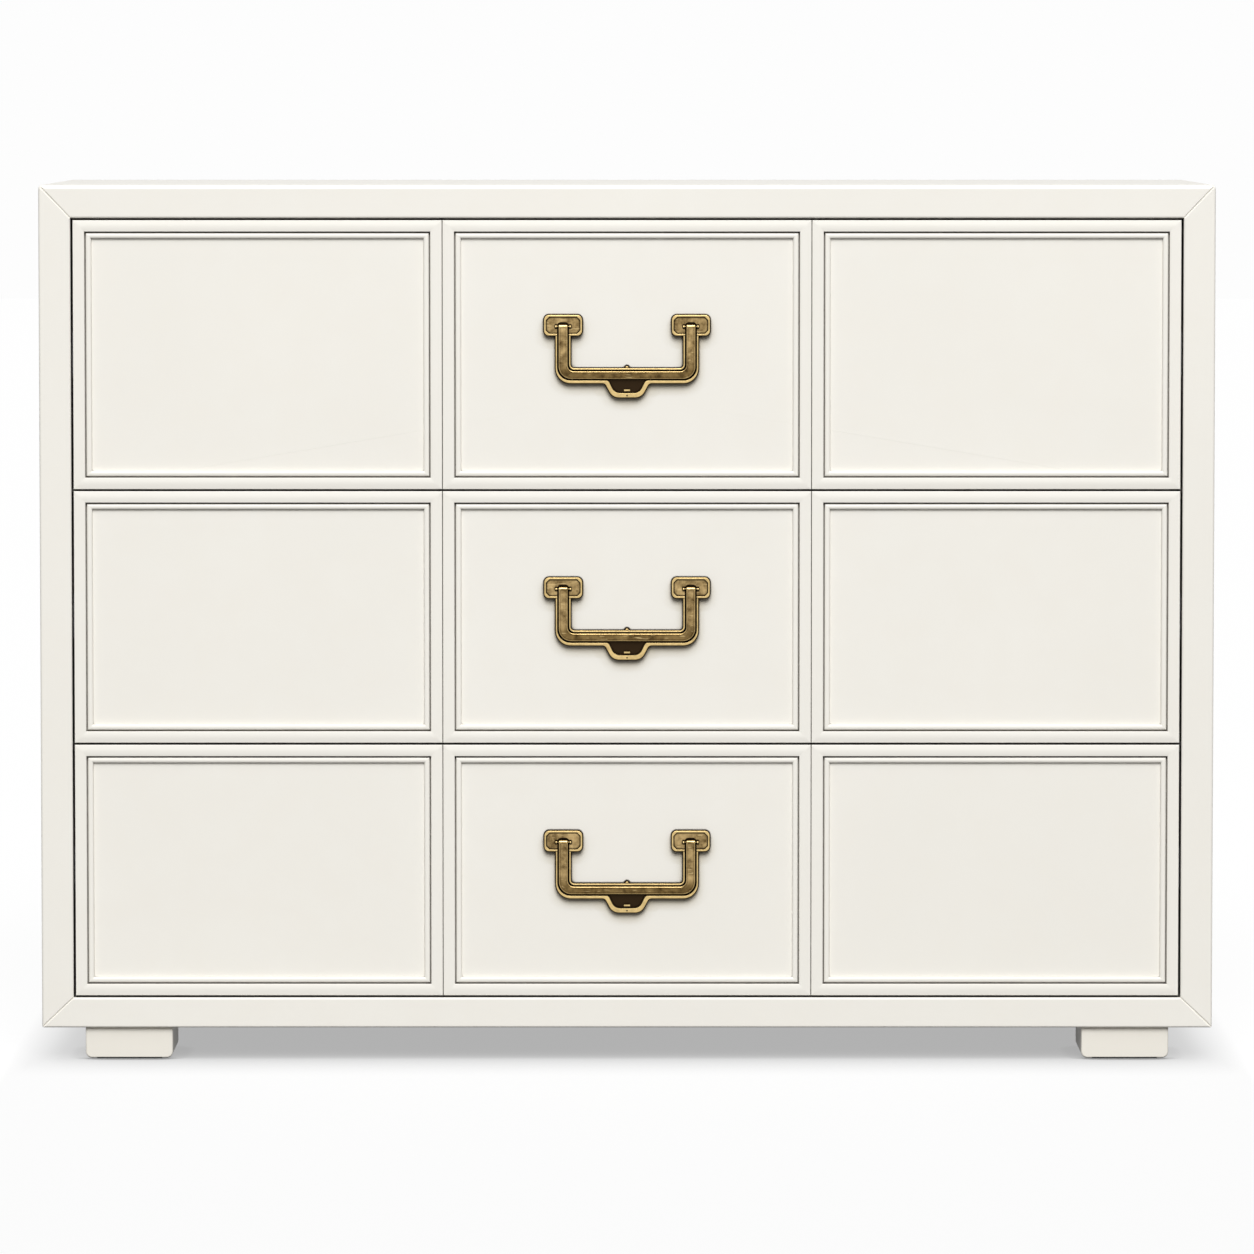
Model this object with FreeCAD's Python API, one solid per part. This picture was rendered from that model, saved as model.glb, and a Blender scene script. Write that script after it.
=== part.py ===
import FreeCAD, Part
import math
import os

# Campaign chest: mitred case on block feet, three full-width drawers on telescopic slides,
# three applied panel frames on each drawer front, one swinging brass pull per drawer.
# Millimetres, +Z up, fronts towards -Y, origin on the floor under the middle of the case.

V = FreeCAD.Vector

# ---- case -----------------------------------------------------------------------------------
case_w = 1219.0
case_d = 457.0
chest_h = 910.0
top_t = 34.6
base_t = 31.4
side_t = 33.0
case_edge_r = 4.7
case_side_r = 2.5
case_low_r = 2.0
opening_ease_r = 2.3
mitre_groove_w = 2.6
mitre_groove_d = 1.2
mitre_groove_run = 0.1
back_t = 6.0
back_recess = 2.5
rabbet_w = 12.0
back_clear = 0.3
spline_w = 20.0
spline_t = 4.0
spline_stop = 20.0
rail_t = 19.0
rail_d = 64.0
rail_housing = 8.0
joint_clear = 0.1
same_place = 0.02

# ---- feet -----------------------------------------------------------------------------------
foot_w = 90.8
foot_d = 104.0
foot_h = 32.5
foot_inset = 45.0
foot_setback = 6.0
foot_corner_r = 6.5
foot_edge_r = 1.6
pad_t = 1.5
pad_proud = 0.5
pad_inset_x = 11.5
pad_inset_y = 3.0

# ---- drawer fronts --------------------------------------------------------------------------
top_front_h = 279.0
front_gap = 2.0
front_t = 16.0
crest_reveal = 1.6
panel_count = 3
panel_joint = 0.6
stop_clear = 0.3

# ---- panel moulding: pillow, quirk and bead, heights above the drawer front -------------------
pillow_w = 12.0
crest_h = 5.5
shoulder_h = 5.0
shoulder_r = 0.9
shoulder_flat = 0.2
quirk_w = 1.1
quirk_h = 0.8
bead_w = 6.0
bead_side_h = 1.2
bead_r = 2.4
bead_crown = 0.06

# ---- drawer boxes ---------------------------------------------------------------------------
slide_space = 12.7
box_d = 400.0
box_t = 12.0
box_margin = 22.0
bottom_t = 6.0
bottom_raise = 10.0
bottom_tongue = 5.5
tail_w = 24.0
tail_pitch = 40.0
tail_slope = 0.16

# ---- telescopic slides ----------------------------------------------------------------------
slide_end_gap = 5.0
slide_h = 45.0
slide_sheet = 1.2
slide_run = 0.3
slide_lip = 9.5
slide_screw_inset = 35.0
slide_screw_count = 3

# ---- screws ---------------------------------------------------------------------------------
screw_clear = 0.1
recess_span = 1.2
recess_slot = 0.32
recess_depth = 0.6
slide_screw_r = 1.75
slide_screw_head_r = 2.9
slide_screw_l = 10.0
fixing_r = 2.0
fixing_head_r = 4.0
fixing_head_t = 2.2
fixing_l = 24.0
fixing_inset_x = 120.0
fixing_inset_z = 35.0
back_screw_r = 1.75
back_screw_head_r = 3.5
back_screw_head_t = 1.8
back_screw_l = 20.0
back_screw_pitch = 190.0
foot_screw_r = 2.5
foot_screw_head_r = 5.0
foot_screw_head_t = 3.0
foot_screw_l = 50.0
foot_screw_spread = 50.0

# ---- brass pull, heights above the drawer front -----------------------------------------------
pull_drop = 1.35
pull_centres = 132.5
pull_h = 87.5
plate_w = 41.5
plate_h = 23.4
plate_r = 6.0
plate_rim_w = 3.5
plate_field_h = 4.6
plate_rim_h = 7.0
plate_clip = 3.2
plate_crest_r = 1.8
field_crest_r = 1.2
field_corner_r = 0.8
scoop_drop = 14.8
scoop_neck_w = 47.0
scoop_low_w = 31.2
scoop_neck_r = 3.5
scoop_low_r = 12.0
mouth_neck_w = 38.0
mouth_low_w = 25.2
mouth_neck_r = 4.0
mouth_low_r = 8.5
mouth_rim = 6.0
tray_w = 17.4
tray_r = 16.5
tray_inner_r = 3.0
tray_floor_h = 2.0
tray_rim_w = 3.0
tray_low_rim_w = 4.2
tray_rim_h = 6.6
tray_crest_r = 1.7
pocket_crest_r = 1.0
tray_overlap = 1.0
bail_side_clear = 0.9
bail_low_clear = 1.2
bail_seat_clear = 0.3
bail_t = 5.0
bail_r = 13.0
bail_inner_r = 6.5
bail_crest_r = 1.0
bail_border = 1.7
bail_sink = 0.5
bail_sink_drop = 1.2
pivot_drop = 13.0
pin_r = 1.1
pin_clear = 0.05
ear_clear = 1.4
ear_w = 2.4
ear_r = 2.4
ear_end_r = 0.7
slot_end_clear = 2.0
slot_end_r = 4.0
nub_r = 3.3
nub_sink = 0.6
nub_h = 5.8
nub_dome_r = 2.6
lug_w = 6.4
lug_h = 1.8
lug_gap = 1.6
lug_rise = 4.4
boss_r = 4.0
boss_l = 8.0
boss_clear = 0.3
boss_skin = 1.0
pull_screw_r = 2.0
pull_screw_head_r = 5.0
pull_screw_head_t = 2.5
tack_r = 0.7
tack_sink = 0.8
tack_l = 14.0

# ---- places worked out from the sizes above ----------------------------------------------------
base_z = foot_h + pad_proud
front_y = -case_d / 2
back_y = case_d / 2
open_w = case_w - 2 * side_t
open_low_z = base_z + base_t
open_top_z = chest_h - top_t
front_w = open_w - 2 * front_gap
low_front_h = (open_top_z - open_low_z - top_front_h - 4 * front_gap) / 2
field_y = front_y + crest_reveal + crest_h
box_y = field_y + front_t
box_w = open_w - 2 * slide_space
mould_w = pillow_w + quirk_w + bead_w
bail_w = tray_w - 2 * tray_rim_w - 2 * bail_side_clear
pin_h = tray_floor_h + bail_seat_clear + bail_t / 2
back_inner_y = back_y - back_recess - back_t
slide_l = box_d - 2 * slide_end_gap
slide_y = box_y + slide_end_gap

drawer_heights = {"top": top_front_h, "middle": low_front_h, "bottom": low_front_h}


# ---- small tools -------------------------------------------------------------------------------
def block(x0, x1, y0, y1, z0, z1):
    """A box between two corners."""
    return Part.makeBox(x1 - x0, y1 - y0, z1 - z0, V(x0, y0, z0))


def rod(radius, length, start, direction):
    """A cylinder from a point along a direction."""
    return Part.makeCylinder(radius, length, start, direction)


def outline(corners, radii):
    """A closed wire in the XZ plane with its corners rounded by tangent arcs."""
    points = [V(x, 0, z) for x, z in corners]
    starts = []
    ends = []
    middles = []
    for i, point in enumerate(points):
        back = (points[i - 1] - point).normalize()
        ahead = (points[(i + 1) % len(points)] - point).normalize()
        half = back.getAngle(ahead) / 2
        run = radii[i] / math.tan(half)
        bisector = (back + ahead).normalize()
        starts.append(point + back * run)
        ends.append(point + ahead * run)
        middles.append(point + bisector * (radii[i] / math.sin(half) - radii[i]))
    edges = []
    for i in range(len(points)):
        following = (i + 1) % len(points)
        if radii[i] > 0:
            edges.append(Part.Arc(starts[i], middles[i], ends[i]).toShape())
        edges.append(Part.LineSegment(ends[i], starts[following]).toShape())
    return Part.Wire(edges)


def raised(wire, low, high):
    """A wire of the XZ plane raised from one height above the drawer front to another."""
    face = Part.Face(wire)
    face.translate(V(0, -low, 0))
    return face.extrude(V(0, low - high, 0))


def edges_at_height(shape, height, below_z):
    """The edges that lie wholly at one height above the drawer front and reach below a Z."""
    def level(edge):
        box = edge.BoundBox
        flat = abs(box.YMin + height) < same_place and abs(box.YMax + height) < same_place
        return flat and box.ZMin < below_z - same_place
    return [edge for edge in shape.Edges if level(edge)]


def edges_along(shape, wire, height, below_z):
    """Those edges at one height that also follow a wire of the XZ plane."""
    lifted = wire.copy()
    lifted.translate(V(0, -height, 0))

    def follows(edge):
        middle = Part.Vertex(edge.valueAt((edge.FirstParameter + edge.LastParameter) / 2))
        return lifted.distToShape(middle)[0] < same_place

    return [edge for edge in edges_at_height(shape, height, below_z) if follows(edge)]


def round_ended(radius, length, start, direction, end_r):
    """A cylinder with both its rims rounded."""
    body = rod(radius, length, start, direction)
    return body.makeFillet(end_r, [edge for edge in body.Edges if edge.isClosed()])


def rounded(body, radius_of):
    """A body with its edges rounded, each by the radius that a rule gives for it, or 0 for none."""
    document = FreeCAD.newDocument()
    base = document.addObject("Part::Feature", "base")
    base.Shape = body
    fillet = document.addObject("Part::Fillet", "fillet")
    fillet.Base = base
    radii = [radius_of(edge.BoundBox) for edge in body.Edges]
    fillet.Edges = [(i + 1, r, r) for i, r in enumerate(radii) if r > 0]
    document.recompute()
    return fillet.Shape.copy()


def fused(shapes):
    """One solid from several that touch."""
    return shapes[0].multiFuse(shapes[1:]).removeSplitter().Solids[0]


def cut(shape, tools):
    """A solid less every tool."""
    return shape.cut(Part.makeCompound(tools)).Solids[0]


def grown(shape, by):
    """The bounding box of a shape, larger by a clearance all round."""
    b = shape.BoundBox
    return block(b.XMin - by, b.XMax + by, b.YMin - by, b.YMax + by, b.ZMin - by, b.ZMax + by)


def pan_screw(radius, length, head_r, head_t, seat, direction):
    """A screw whose head lies on a surface at seat and whose shank runs along direction."""
    shank = rod(radius, length, seat, direction)
    head = rod(head_r, head_t, seat, direction * -1)
    head = head.makeFillet(head_t / 2, [e for e in head.Edges if e.isClosed() and far(e, seat, head_t)])
    return recessed(fused([shank, head]), head_r, head_t, seat - direction * head_t, direction)


def far(edge, seat, distance):
    """Whether a circular edge lies a head's thickness off the seat."""
    centre = edge.Curve.Center if hasattr(edge.Curve, "Center") else seat
    return abs((centre - seat).Length - distance) < same_place


def flat_screw(radius, length, head_r, head_t, surface, direction):
    """The outer form of a countersunk screw whose head is flush with a surface."""
    head = Part.makeCone(head_r, radius, head_t, surface, direction)
    return fused([head, rod(radius, length, surface, direction)])


def recessed(screw, head_r, head_t, top, direction):
    """A screw with the cross for a driver cut into its head from the top."""
    half_span = head_r * recess_span / 2
    half_slot = head_r * recess_slot / 2
    depth = head_t * recess_depth
    cross = [block(-half_span, half_span, -half_slot, half_slot, -head_t, depth),
             block(-half_slot, half_slot, -half_span, half_span, -head_t, depth)]
    for slot in cross:
        slot.Placement = FreeCAD.Placement(top, FreeCAD.Rotation(V(0, 0, 1), direction))
    return cut(screw, cross)


def save(name, solids):
    """Writes one node, which is a solid or a group of separate solids."""
    shape = solids[0] if len(solids) == 1 else Part.makeCompound(solids)
    shape.exportStep("parts/" + name + ".step")


# ---- case ---------------------------------------------------------------------------------------
def case_corners():
    """Outer and inner corner of each mitre as (outer, inner), by name."""
    corners = {}
    for side, x in (("left", -1), ("right", 1)):
        outer_x = x * case_w / 2
        inner_x = x * open_w / 2
        corners[side + "_top"] = (V(outer_x, 0, chest_h), V(inner_x, 0, open_top_z))
        corners[side + "_low"] = (V(outer_x, 0, base_z), V(inner_x, 0, open_low_z))
    return corners


def case_shell():
    """The case as one ring of wood with its outer edges rounded, before it is divided at the mitres."""
    body = block(-case_w / 2, case_w / 2, front_y, back_y, base_z, chest_h)

    def radius_of(box):
        if box.YMin > front_y + same_place:
            return 0
        if box.ZMin > chest_h - same_place:
            return case_edge_r
        return case_low_r if box.ZMax < base_z + same_place else case_side_r

    body = rounded(body, radius_of)
    opening = block(-open_w / 2, open_w / 2, front_y - front_t, back_y + back_t, open_low_z, open_top_z)
    rabbet = block(-open_w / 2 - rabbet_w, open_w / 2 + rabbet_w, back_inner_y, back_y + back_t,
                   open_low_z - rabbet_w, open_top_z + rabbet_w)
    return body.cut(opening.fuse(rabbet))


def case_board(shell, first, second):
    """The board between two mitres, with its front edge towards the drawers eased."""
    board = shell.common(mitre_piece(first, second)).Solids[0]
    middle = (first[1] + second[1]) * 0.5 + V(0, front_y, 0)

    def inner_front(edge):
        return (edge.CenterOfMass - middle).Length < same_place

    return board.makeFillet(opening_ease_r, [e for e in board.Edges if inner_front(e)])


def mitre_piece(first, second):
    """The space that holds one board of the case, between the mitres at its two ends."""
    loop = [first[0] * 2 - first[1], second[0] * 2 - second[1], second[1], first[1]]
    wire = Part.makePolygon(loop + loop[:1])
    face = Part.Face(wire)
    face.translate(V(0, front_y - front_t, 0))
    return face.extrude(V(0, case_d + 2 * front_t, 0))


def mitre_groove(outer, inner):
    """The shallow V along one mitre on the front of the case."""
    along = inner - outer
    across = V(-along.z, 0, along.x).normalize()
    start = outer - along * mitre_groove_run
    front = V(0, front_y - mitre_groove_d, 0)
    sides = [start + front + across * mitre_groove_w, start + front - across * mitre_groove_w]
    root = start + V(0, front_y + mitre_groove_d, 0)
    wire = Part.makePolygon([sides[0], sides[1], root, sides[0]])
    return Part.Face(wire).extrude(along * (1 + mitre_groove_run))


def spline(outer, inner, clear):
    """The loose tongue that lies across one mitre, stopped short of the front."""
    along = (inner - outer).normalize()
    across = V(-along.z, 0, along.x)
    middle = (outer + inner) * 0.5 + V(0, front_y + spline_stop - clear, 0)
    a = along * (spline_t / 2 + clear)
    b = across * (spline_w / 2 + clear)
    loop = [middle + a + b, middle - a + b, middle - a - b, middle + a - b]
    wire = Part.makePolygon(loop + loop[:1])
    length = back_inner_y - front_y - 2 * spline_stop + 2 * clear
    return Part.Face(wire).extrude(V(0, length, 0))


def front_rail(z_middle, clear):
    """A rail between two drawers, housed in both sides."""
    reach = open_w / 2 + rail_housing + clear
    y0 = box_y + stop_clear
    return block(-reach, reach, y0 - clear, y0 + rail_d + clear,
                 z_middle - rail_t / 2 - clear, z_middle + rail_t / 2 + clear)


def back_screws():
    """Screws round the back panel, a rabbet's half width in from its edge."""
    x_line = open_w / 2 + rabbet_w / 2
    z_low = open_low_z - rabbet_w / 2
    z_high = open_top_z + rabbet_w / 2
    across = max(1, round(2 * x_line / back_screw_pitch))
    up = max(1, round((z_high - z_low) / back_screw_pitch))
    spots = []
    for i in range(across + 1):
        x = -x_line + 2 * x_line * i / across
        spots += [(x, z_low), (x, z_high)]
    for i in range(1, up):
        z = z_low + (z_high - z_low) * i / up
        spots += [(-x_line, z), (x_line, z)]
    return [V(x, back_inner_y + back_t, z) for x, z in spots]


def foot_places():
    """Middle of each foot in plan, by name."""
    x = case_w / 2 - foot_inset - foot_w / 2
    y = case_d / 2 - foot_setback - foot_d / 2
    return {"front_left": (-x, -y), "front_right": (x, -y), "back_left": (-x, y), "back_right": (x, y)}


def foot_block(x, y):
    """One block foot, rounded everywhere but where it meets the case, with a channel for its pad."""
    body = block(x - foot_w / 2, x + foot_w / 2, y - foot_d / 2, y + foot_d / 2, pad_proud, base_z)

    def low_corner(box):
        return foot_corner_r if box.YLength > foot_d / 2 and box.ZMax < base_z - same_place else 0

    def face_edge(box):
        flat = box.YLength < same_place
        return foot_edge_r if flat and box.ZMin < base_z - same_place else 0

    body = rounded(rounded(body, low_corner), face_edge)
    half = foot_w / 2 - pad_inset_x
    return cut(body, [block(x - half, x + half, y - foot_d, y + foot_d, 0, pad_t)])


def foot_pad(x, y):
    """The pad let into the underside of one foot."""
    half_w = foot_w / 2 - pad_inset_x - joint_clear
    half_d = foot_d / 2 - pad_inset_y
    return block(x - half_w, x + half_w, y - half_d, y + half_d, 0, pad_t)


def foot_screw_seats(x, y):
    """Where the two screws of one foot start, on the inside of the case."""
    return [V(x - foot_screw_spread / 2, y, open_low_z), V(x + foot_screw_spread / 2, y, open_low_z)]


# ---- slides ---------------------------------------------------------------------------------------
def channel(face_x, height, z_middle, opens):
    """A bent steel channel: its web stands at face_x and its lips run along opens."""
    s = slide_sheet
    x0 = min(face_x, face_x + opens * slide_lip)
    x1 = max(face_x, face_x + opens * slide_lip)
    outer = block(x0, x1, slide_y, slide_y + slide_l, z_middle - height / 2, z_middle + height / 2)
    hollow = block(x0 + opens * s, x1 + opens * s, slide_y - s, slide_y + slide_l + s,
                   z_middle - height / 2 + s, z_middle + height / 2 - s)
    return outer.cut(hollow).Solids[0]


def case_member(side, z_middle):
    """The slide member screwed to the case."""
    return channel(side * open_w / 2, slide_h, z_middle, -side)


def middle_member(side, z_middle):
    """The slide member between the two others, nested in the case member with a running gap."""
    step = slide_sheet + slide_run
    return channel(side * (open_w / 2 - step), slide_h - 2 * step, z_middle, -side)


def drawer_member(side, z_middle):
    """The slide member screwed to the drawer, nested in the middle member with a running gap."""
    step = slide_sheet + slide_run
    return channel(side * box_w / 2, slide_h - 4 * step, z_middle, side)


def slide_screw_ys():
    """Places of the screws along a slide."""
    run = slide_l - 2 * slide_screw_inset
    gaps = slide_screw_count - 1
    return [slide_y + slide_screw_inset + run * i / gaps for i in range(slide_screw_count)]


def slide_bores(web_x, direction, z_middle, clear):
    """Outer forms of the countersunk screws flush with a slide's web, larger by a clearance."""
    axis = V(direction, 0, 0)
    return [flat_screw(slide_screw_r + clear, slide_screw_l + clear, slide_screw_head_r + clear,
                       slide_sheet, V(web_x, y, z_middle), axis) for y in slide_screw_ys()]


def slide_screws(web_x, direction, z_middle):
    """The screws that hold one slide member."""
    forms = slide_bores(web_x, direction, z_middle, 0)
    return [recessed(form, slide_screw_head_r, slide_sheet, V(web_x, y, z_middle), V(direction, 0, 0))
            for form, y in zip(forms, slide_screw_ys())]


# ---- drawers --------------------------------------------------------------------------------------
def moulding_strip(length):
    """One strip of panel moulding along X, its outer edge at Z 0 and its ends mitred."""
    top = shoulder_h
    inner = pillow_w - shoulder_r
    quarter = shoulder_r * (1 - math.sqrt(0.5))
    bead_x = pillow_w + quirk_w
    bead_top = bead_side_h + bead_r
    bead_quarter = bead_r * (1 - math.sqrt(0.5))

    def at(across, height):
        return V(-length / 2, -height, -across)

    def line(a, b):
        return Part.LineSegment(a, b).toShape()

    def arc(a, b, c):
        return Part.Arc(a, b, c).toShape()

    rise = shoulder_r + shoulder_flat
    fall = inner - shoulder_flat
    edges = [
        line(at(0, 0), at(0, top - shoulder_r)),
        arc(at(0, top - shoulder_r), at(quarter, top - quarter), at(shoulder_r, top)),
        line(at(shoulder_r, top), at(rise, top)),
        arc(at(rise, top), at(pillow_w / 2, crest_h), at(fall, top)),
        line(at(fall, top), at(inner, top)),
        arc(at(inner, top), at(pillow_w - quarter, top - quarter), at(pillow_w, top - shoulder_r)),
        line(at(pillow_w, top - shoulder_r), at(pillow_w, quirk_h)),
        line(at(pillow_w, quirk_h), at(bead_x, quirk_h)),
        line(at(bead_x, quirk_h), at(bead_x, bead_side_h)),
        arc(at(bead_x, bead_side_h), at(bead_x + bead_quarter, bead_top - bead_quarter),
            at(bead_x + bead_r, bead_top)),
        arc(at(bead_x + bead_r, bead_top), at(bead_x + bead_w / 2, bead_top + bead_crown),
            at(mould_w - bead_r, bead_top)),
        arc(at(mould_w - bead_r, bead_top), at(mould_w - bead_quarter, bead_top - bead_quarter),
            at(mould_w, bead_side_h)),
        line(at(mould_w, bead_side_h), at(mould_w, 0)),
        line(at(mould_w, 0), at(0, 0)),
    ]
    bar = Part.Face(Part.Wire(edges)).extrude(V(length, 0, 0))
    outer_x = length / 2
    inner_x = outer_x - mould_w
    mitres = [(-outer_x, 0), (outer_x, 0), (inner_x, -mould_w), (-inner_x, -mould_w)]
    wedge = raised(outline(mitres, [0] * 4), -joint_clear, crest_h + joint_clear)
    return bar.common(wedge).Solids[0]


def panel_frame(x_middle, z_middle, width, height):
    """Four mitred strips round one panel."""
    strips = []
    for turn in range(4):
        upright = turn % 2 == 1
        strip = moulding_strip(height if upright else width)
        strip.translate(V(0, 0, (width if upright else height) / 2))
        strip.rotate(V(0, 0, 0), V(0, 1, 0), 90 * turn)
        strip.translate(V(x_middle, field_y, z_middle))
        strips.append(strip)
    return strips


def tails(x0, x1, y_end, y_root, z0, z1):
    """Dovetails of one corner of a drawer box, wide at the end of the side and narrow at the root."""
    count = max(1, int((z1 - z0) // tail_pitch))
    step = (z1 - z0) / count
    narrow = tail_w / 2 - abs(y_root - y_end) * tail_slope
    shapes = []
    for i in range(count):
        z = z0 + step * (i + 1 / 2)
        loop = [V(x0, y_end, z - tail_w / 2), V(x0, y_end, z + tail_w / 2),
                V(x0, y_root, z + narrow), V(x0, y_root, z - narrow)]
        shapes.append(Part.Face(Part.makePolygon(loop + loop[:1])).extrude(V(x1 - x0, 0, 0)))
    return shapes


def drawer_box(z0, z1):
    """Sides, inner front, back and bottom of one drawer box."""
    half = box_w / 2
    y0 = box_y
    y1 = box_y + box_d
    across = {
        "front": block(-half + box_t, half - box_t, y0, y0 + box_t, z0, z1),
        "back": block(-half + box_t, half - box_t, y1 - box_t, y1, z0, z1),
    }
    sides = {}
    for name, x0 in (("left", -half), ("right", half - box_t)):
        x1 = x0 + box_t
        side = block(x0, x1, y0 + box_t, y1 - box_t, z0, z1)
        for end, y_end, y_root in (("front", y0, y0 + box_t), ("back", y1, y1 - box_t)):
            fingers = tails(x0, x1, y_end, y_root, z0, z1)
            corner = block(x0, x1, min(y_end, y_root), max(y_end, y_root), z0, z1)
            across[end] = across[end].multiFuse(corner.cut(Part.makeCompound(fingers)).Solids)
            side = side.multiFuse(fingers)
        sides[name] = side
    bottom_x = half - box_t + bottom_tongue
    bottom = block(-bottom_x, bottom_x, y0 + box_t - bottom_tongue, y1 - box_t + bottom_tongue,
                   z0 + bottom_raise, z0 + bottom_raise + bottom_t)
    groove = grown(bottom, joint_clear)
    boards = [sides["left"], sides["right"], across["front"], across["back"]]
    return [cut(board.removeSplitter(), [groove]) for board in boards] + [bottom]


def fixing_seats(z0, z1):
    """Where the screws that hold the drawer front start, inside the box."""
    y = box_y + box_t
    x = box_w / 2 - fixing_inset_x
    return [V(sx * x, y, z) for sx in (-1, 1) for z in (z0 + fixing_inset_z, z1 - fixing_inset_z)]


# ---- pull -----------------------------------------------------------------------------------------
def tray_outline(inset, low_inset, top_z, neck_w, low_w, low_z, radii):
    """The U of the tray with its scoop; radii are bail corner, neck, scoop foot, inner corner."""
    x = pull_centres / 2
    wide = x + tray_w / 2 - inset
    near = x - tray_w / 2 + inset
    bar_low = scoop_drop - pull_h / 2 + low_inset
    bar_high = scoop_drop - pull_h / 2 + tray_w - inset
    corner_r, neck_r, low_r, inner_r = radii
    corners = [(-wide, top_z), (-wide, bar_low), (-neck_w / 2, bar_low), (-low_w / 2, low_z),
               (low_w / 2, low_z), (neck_w / 2, bar_low), (wide, bar_low), (wide, top_z),
               (near, top_z), (near, bar_high), (-near, bar_high), (-near, top_z)]
    rounds = [0, corner_r, neck_r, low_r, low_r, neck_r, corner_r, 0, 0, inner_r, inner_r, 0]
    return outline(corners, rounds)


def pull_nub():
    """The small dome on the upper rim of the tray."""
    nub = rod(nub_r, nub_h, V(0, 0, scoop_drop - pull_h / 2 + tray_w - nub_sink), V(0, -1, 0))
    return nub.makeFillet(nub_dome_r, edges_at_height(nub, nub_h, pull_h))


def pull_tray():
    """Floor and raised rim of the tray that the bail lies in, with its nub."""
    top_z = pull_h / 2 - plate_h + tray_overlap
    low_z = -pull_h / 2
    outer = tray_outline(0, 0, top_z, scoop_neck_w, scoop_low_w, low_z,
                         (tray_r, scoop_neck_r, scoop_low_r, tray_inner_r))
    pocket = tray_outline(tray_rim_w, tray_low_rim_w, top_z + tray_w, mouth_neck_w, mouth_low_w,
                          low_z + mouth_rim,
                          (tray_r - tray_rim_w, mouth_neck_r, mouth_low_r, tray_inner_r + tray_rim_w))
    tray = raised(outer, 0, tray_rim_h)
    tray = tray.makeFillet(tray_crest_r, edges_along(tray, outer, tray_rim_h, top_z))
    tray = fused([tray, pull_nub()]).cut(raised(pocket, tray_floor_h, tray_rim_h + tray_rim_h))
    return tray.makeFillet(pocket_crest_r, edges_along(tray, pocket, tray_rim_h, top_z)).Solids[0]


def pull_plate(x):
    """One end plate with its raised rim, sunk field and the slot for the bail's arm."""
    z1 = pull_h / 2
    z0 = z1 - plate_h
    half = plate_w / 2
    body = raised(outline([(x - half, z0), (x + half, z0), (x + half, z1), (x - half, z1)], [plate_r] * 4),
                  0, plate_rim_h)
    body = body.makeFillet(plate_crest_r, edges_at_height(body, plate_rim_h, z1 + plate_h))
    hx = half - plate_rim_w
    low = z0 + plate_rim_w
    high = z1 - plate_rim_w
    c = plate_clip
    loop = [(x - hx, low + c), (x - hx + c, low), (x + hx - c, low), (x + hx, low + c),
            (x + hx, high - c), (x + hx - c, high), (x - hx + c, high), (x - hx, high - c)]
    field = outline(loop, [field_corner_r] * len(loop))
    body = body.cut(raised(field, plate_field_h, plate_rim_h + plate_rim_h))
    body = body.makeFillet(field_crest_r, edges_along(body, field, plate_rim_h, z1))
    slot_half = bail_w / 2 + ear_clear
    slot_top = z1 - pivot_drop + bail_t / 2 + slot_end_clear
    slot = raised(outline([(x - slot_half, z0 - tray_w), (x + slot_half, z0 - tray_w),
                           (x + slot_half, slot_top), (x - slot_half, slot_top)],
                          [0, 0, slot_end_r, slot_end_r]), tray_floor_h, plate_rim_h + plate_rim_h)
    return body.cut(slot).Solids[0]


def pull_ears(x):
    """Two knuckles that hold the pin, one each side of the bail's arm."""
    z = pull_h / 2 - pivot_drop
    shapes = []
    for side in (-1, 1):
        x0 = x + side * (bail_w / 2 + ear_clear)
        x1 = x0 + side * ear_w
        low = min(x0, x1)
        shapes.append(round_ended(ear_r, ear_w, V(low, -pin_h, z), V(1, 0, 0), ear_end_r))
        shapes.append(block(low, low + ear_w, -pin_h, -tray_floor_h, z - ear_r, z + ear_r))
    return shapes


def pull_backplate():
    """Tray, plates, ears, lug and threaded bosses as one casting."""
    x = pull_centres / 2
    z_pin = pull_h / 2 - pivot_drop
    pieces = [pull_tray()]
    for side in (-1, 1):
        pieces.append(pull_plate(side * x))
        pieces += pull_ears(side * x)
        pieces.append(rod(boss_r, boss_l, V(side * x, 0, z_pin), V(0, 1, 0)))
    lug_z = mouth_rim - pull_h / 2 + lug_gap
    pieces.append(block(-lug_w / 2, lug_w / 2, -tray_floor_h - lug_rise, -tray_floor_h / 2,
                        lug_z, lug_z + lug_h))
    body = fused(pieces)
    holes = pull_pin_rods(pin_clear)
    for side in (-1, 1):
        holes.append(rod(pull_screw_r + screw_clear, boss_l - boss_skin + screw_clear,
                         V(side * x, boss_l + screw_clear, z_pin), V(0, -1, 0)))
    tack_mouth = tack_top() + V(0, -boss_skin, 0)
    holes.append(rod(tack_r + pin_clear, tray_rim_h + boss_skin, tack_mouth, V(0, 1, 0)))
    return cut(body, holes)


def tack_top():
    """Head end of the tack in the scoop's rim, sunk below the rim's face."""
    return V(0, -(tray_rim_h - tack_sink), -pull_h / 2 + mouth_rim / 2)


def bail_outline(inset, top_z):
    """The U of the bail, drawn in by an inset."""
    x = pull_centres / 2
    wide = x + bail_w / 2 - inset
    near = x - bail_w / 2 + inset
    bar_foot = scoop_drop - pull_h / 2
    low = bar_foot + tray_low_rim_w + bail_low_clear + inset
    high = bar_foot + tray_w - tray_rim_w - bail_side_clear - inset
    corners = [(-wide, top_z), (-wide, low), (wide, low), (wide, top_z),
               (near, top_z), (near, high), (-near, high), (-near, top_z)]
    outer_r = bail_r - inset
    inner_r = bail_inner_r + inset
    return outline(corners, [0, outer_r, outer_r, 0, 0, inner_r, inner_r, 0])


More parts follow.
